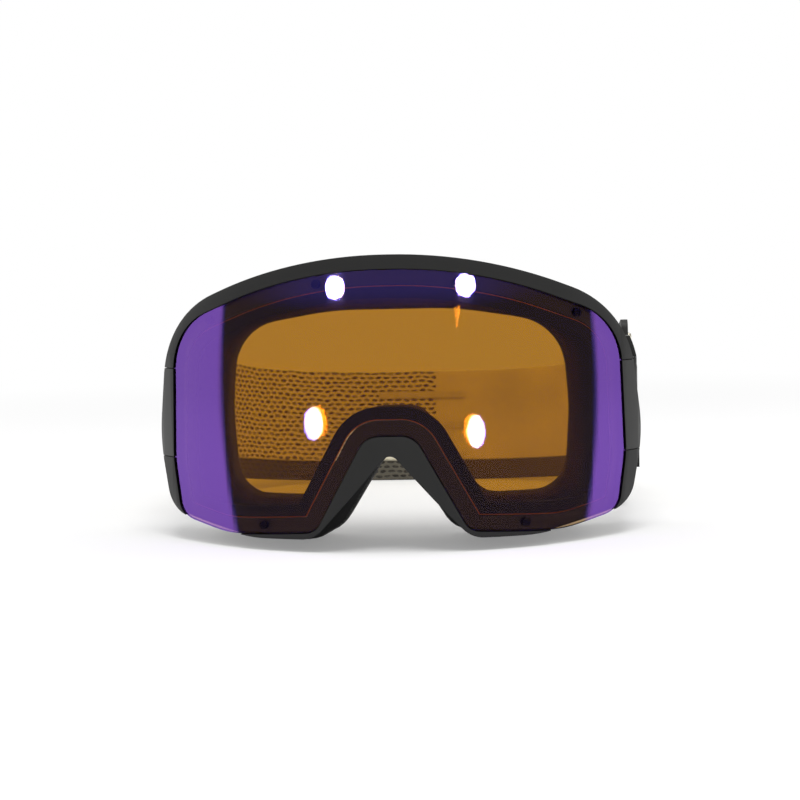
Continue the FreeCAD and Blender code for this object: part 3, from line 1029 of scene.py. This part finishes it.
@dataclass
class Frame:
    """The moulded frame: rim, side wall, face flange and temples.

    Attributes:
        rim_ease: rounding of the rim.
        wall_ease: rounding of wall, flange and temples.
    """

    rim_ease: float = 0.7 * MM
    wall_ease: float = 0.3 * MM

    def build(self) -> None:
        """Eases and dresses the frame."""
        # Charcoal rim: fine grain with a broad soft highlight along its rounded edge.
        rim_finish = Moulded("moulded_thermoplastic_polyurethane", "151514", roughness=0.42).make()
        # The walls behind it are duller, so they fall back.
        wall_finish = Moulded("matt_thermoplastic_polyurethane", "131312", roughness=0.62).make()
        rim = eased_copy("front_rim", self.rim_ease, 50.0)
        rim.data.materials.append(rim_finish)
        settle(rim, Body.FRAME.value, ["front_rim"])
        for node, slot, finish in (("side_wall", "wall_moulding", wall_finish),
                                   ("face_flange", "wall_moulding", wall_finish),
                                   ("temple_left", "frame_moulding", rim_finish),
                                   ("temple_right", "frame_moulding", rim_finish)):
            piece = eased_copy(node, self.wall_ease)
            piece.data.materials.append(finish)
            settle(piece, Body.FRAME.value, [node])
        # Epoxy skin: dead matt black, darker than the ledge round it.
        epoxy = Moulded("black_epoxy_on_magnet_seat", "070608", roughness=0.85, grain_mm=2.5, depth_mm=0.01,
                        gloss=0.05)
        dress(["frame_magnets"], epoxy.make())


@dataclass
class Hardware:
    """Ears, rivets, clips, pins and sliders.

    Attributes:
        ease: width of the broken edges.
    """

    ease: float = 0.3 * MM

    def build(self) -> None:
        """Eases and dresses every hard fitting."""
        # Glass-filled nylon: dry and slightly grey. Satin nylon: smooth, with a clear highlight on the
        # clips. Acetal: the darkest and slickest of the three.
        nylon = Moulded("glass_filled_nylon", "1e1e1d", roughness=0.55).make()
        satin = Moulded("satin_nylon", "222221", roughness=0.36, grain_mm=0.6, depth_mm=0.012).make()
        acetal = Moulded("acetal", "161616", roughness=0.32, grain_mm=0.6, depth_mm=0.01).make()
        for node, body, slot, finish in (
                ("strap_ear_left", Body.FRAME, "ear_plastic", nylon),
                ("strap_ear_right", Body.FRAME, "ear_plastic", nylon),
                ("lens_clip_left", Body.CLIP_LEFT, "clip_plastic", satin),
                ("lens_clip_right", Body.CLIP_RIGHT, "clip_plastic", satin),
                ("slider_left", Body.SLIDER_LEFT, "slider_plastic", acetal),
                ("slider_right", Body.SLIDER_RIGHT, "slider_plastic", acetal)):
            piece = eased_copy(node, self.ease)
            piece.data.materials.append(finish)
            settle(piece, body.value, [node])
        # Turned steel: small bright dots on the dark fittings.
        dress(["ear_rivets"], Metal("stainless_steel", "a8a9ab", 0.3).make())
        dress(["clip_pins"], Metal("ground_steel_pin", "c0c1c4", 0.2).make())


# ------------------------------------------------------------------ studio
@dataclass(frozen=True)
class Bulb:
    """A small bright lamp placed where the lens mirrors it.

    Attributes:
        name: lamp name.
        spot: x and z of its glint on the lens.
        way: azimuth and elevation in degrees from the glint to the lamp.
        far: distance from the lens.
        size: width and height of the lamp.
    """

    name: str
    spot: tuple[float, float]
    way: tuple[float, float]
    far: float
    size: tuple[float, float]


# Two long lamps mirror high in the lens and two short ones low in it.
BULBS = (Bulb("upper_left_bulb", (-0.0175, 0.0907), (-25.4, -0.45), 1.2, (0.17, 0.024)),
         Bulb("upper_right_bulb", (0.0266, 0.0907), (27.7, -0.45), 1.2, (0.17, 0.024)),
         Bulb("lower_left_bulb", (-0.0270, 0.0436), (-36.6, -5.1), 0.3, (0.044, 0.017)),
         Bulb("lower_right_bulb", (0.0299, 0.0415), (31.7, -5.8), 0.3, (0.044, 0.017)))


@dataclass
class Studio:
    """Pale floor and backdrop, soft lamps and the camera.

    Attributes:
        azimuth: camera to the viewer's right of straight on, degrees.
        elevation: camera above level, degrees.
        roll: camera turn about its own axis, degrees.
        distance: camera to the lens apex.
        sensor_mm: width of the sensor.
        focal: focal length in sensor widths.
        aim_height: height the camera looks at.
        aim_side: how far right of the apex it looks.
        room: strength of the room light.
        glint: radiance of the small lamps that show in the lens.
        bulbs: those small lamps, which light the lens pack alone.
    """

    azimuth: float = 4.0
    elevation: float = 4.4
    roll: float = -1.3
    distance: float = 0.55
    sensor_mm: float = 36.0
    focal: float = 2.0475
    aim_height: float = 52.1 * MM
    aim_side: float = 3.86 * MM
    room: float = 0.5
    glint: float = 220.0
    bulbs: list[bpy.types.Object] = field(default_factory=list)

    def camera(self) -> None:
        """Places the camera."""
        a, e, roll = (math.radians(v) for v in (self.azimuth, self.elevation, self.roll))
        back = Vector((math.sin(a) * math.cos(e), -math.cos(a) * math.cos(e), math.sin(e)))
        right = Vector((math.cos(a), math.sin(a), 0))
        up = back.cross(right)
        tilt = Matrix.Rotation(roll, 3, back)
        right, up = tilt @ right, tilt @ up
        data = bpy.data.cameras.new("camera")
        data.sensor_width = self.sensor_mm
        data.lens = self.sensor_mm * self.focal
        data.clip_start = 0.01
        camera = bpy.data.objects.new("camera", data)
        bpy.context.scene.collection.objects.link(camera)
        apex = Vector((0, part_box("outer_lens")[0].y, self.aim_height))
        side = Vector((math.cos(a), math.sin(a), 0)) * self.aim_side
        matrix = Matrix((right, up, back)).transposed().to_4x4()
        matrix.translation = apex + side + back * self.distance
        camera.matrix_world = matrix
        bpy.context.scene.camera = camera

    def seen(self, tree: Tree) -> Socket:
        """1 for what the camera, a gloss or a see-through lens looks at, 0 for light."""
        rays = add(tree, "LightPath").outputs
        direct = calc(tree, "MAXIMUM", rays["Is Camera Ray"], rays["Is Glossy Ray"])
        return calc(tree, "MAXIMUM", direct, rays["Is Transmission Ray"])

    def floor(self) -> None:
        """A wide pale floor that keeps the shadow and fades to white away from the goggles."""
        material, tree = blank("pale_paper")
        place = add(tree, "TexCoord").outputs["Object"]
        far = add(tree, "VectorMath", {0: place}, operation="LENGTH").outputs["Value"]
        fade = remap(tree, far, (0.25, 0.9), (0.25, 1.0), ease=True)
        fibre = noise(tree, place, 900.0)
        paper = add(tree, "BsdfPrincipled", {"Base Color": linear("f2f2f2"), "Roughness": 0.9,
                                             "Normal": relief(tree, fibre, 0.05, 0.3)}).outputs["BSDF"]
        glow = add(tree, "Emission", {"Color": (1, 1, 1, 1), "Strength": 1.0}).outputs["Emission"]
        mix = add(tree, "MixShader", {0: calc(tree, "MULTIPLY", self.seen(tree), fade), 1: paper, 2: glow})
        add(tree, "OutputMaterial", {"Surface": mix.outputs["Shader"]})
        bpy.ops.object.select_all(action="DESELECT")
        bpy.ops.mesh.primitive_plane_add(size=8.0, location=(0, 0, 0))
        sheet = bpy.context.active_object
        sheet.name = "floor"
        sheet.data.materials.append(material)

    def world(self) -> None:
        """White behind the goggles and a plain grey room for the light."""
        world = bpy.data.worlds.new("studio")
        bpy.context.scene.world = world
        world.use_nodes = True
        tree = world.node_tree
        tree.nodes.clear()
        level = remap(tree, self.seen(tree), (0.0, 1.0), (self.room, 1.0))
        back = add(tree, "Background", {"Color": (1, 1, 1, 1), "Strength": level})
        add(tree, "OutputWorld", {"Surface": back.outputs["Background"]})

    def lamp(self, name: str, place: tuple[float, float, float], size: tuple[float, float], power: float,
             round_face: bool = False) -> bpy.types.Object:
        """A soft lamp that looks at the goggles.

        Args:
            name: lamp name.
            place: where it hangs.
            size: width and height.
            power: watts.
            round_face: an elliptical face in place of a rectangular one.

        Returns:
            The lamp.
        """
        data = bpy.data.lights.new(name, "AREA")
        data.shape = "ELLIPSE" if round_face else "RECTANGLE"
        data.size, data.size_y = size
        data.energy = power
        lamp = bpy.data.objects.new(name, data)
        bpy.context.scene.collection.objects.link(lamp)
        lamp.location = place
        lamp.rotation_mode = "QUATERNION"
        lamp.rotation_quaternion = (Vector((0, 0, 0.05)) - Vector(place)).to_track_quat("-Z", "Y")
        lamp.visible_camera = False
        return lamp

    def hang(self, bulb: Bulb) -> None:
        """Hangs one small lamp; its power gives the radiance of the glint."""
        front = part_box("outer_lens")[0].y
        a, e = (math.radians(v) for v in bulb.way)
        place = (bulb.spot[0] + bulb.far * math.sin(a), front - bulb.far * math.cos(a),
                 bulb.spot[1] + bulb.far * math.tan(e))
        power = self.glint * math.pi * math.pi / 4 * bulb.size[0] * bulb.size[1]
        self.bulbs.append(self.lamp(bulb.name, place, bulb.size, power, True))

    def spare(self, names: Sequence[str]) -> None:
        """Keeps the small lamps off everything but the named pieces."""
        lit = bpy.data.collections.new("lens_glints")
        for name in names:
            lit.objects.link(bpy.data.objects[name])
        for bulb in self.bulbs:
            bulb.light_linking.receiver_collection = lit

    def build(self) -> None:
        """Sets up camera, floor, world and lamps."""
        self.camera()
        self.floor()
        self.world()
        self.lamp("key_lamp", (0.1, -0.5, 1.4), (0.7, 0.7), 13.0)
        self.lamp("left_bank", (-1.1, 0.1, 0.5), (0.7, 0.9), 5.0).visible_glossy = False
        self.lamp("right_bank", (1.1, 0.1, 0.5), (0.7, 0.9), 5.0).visible_glossy = False
        for bulb in BULBS:
            self.hang(bulb)
        bpy.context.scene.view_settings.view_transform = "Standard"


def main() -> None:
    """Builds the goggles and the studio, piece by piece."""
    logging.basicConfig(level=logging.INFO)
    studio = Studio()
    studio.build()
    Frame().build()
    Hardware().build()
    LensPack().build()
    FaceSeal().build()
    Strap().build()
    studio.spare(["mirror_lens", "amber_lens"])


if __name__ == "__main__":
    main()
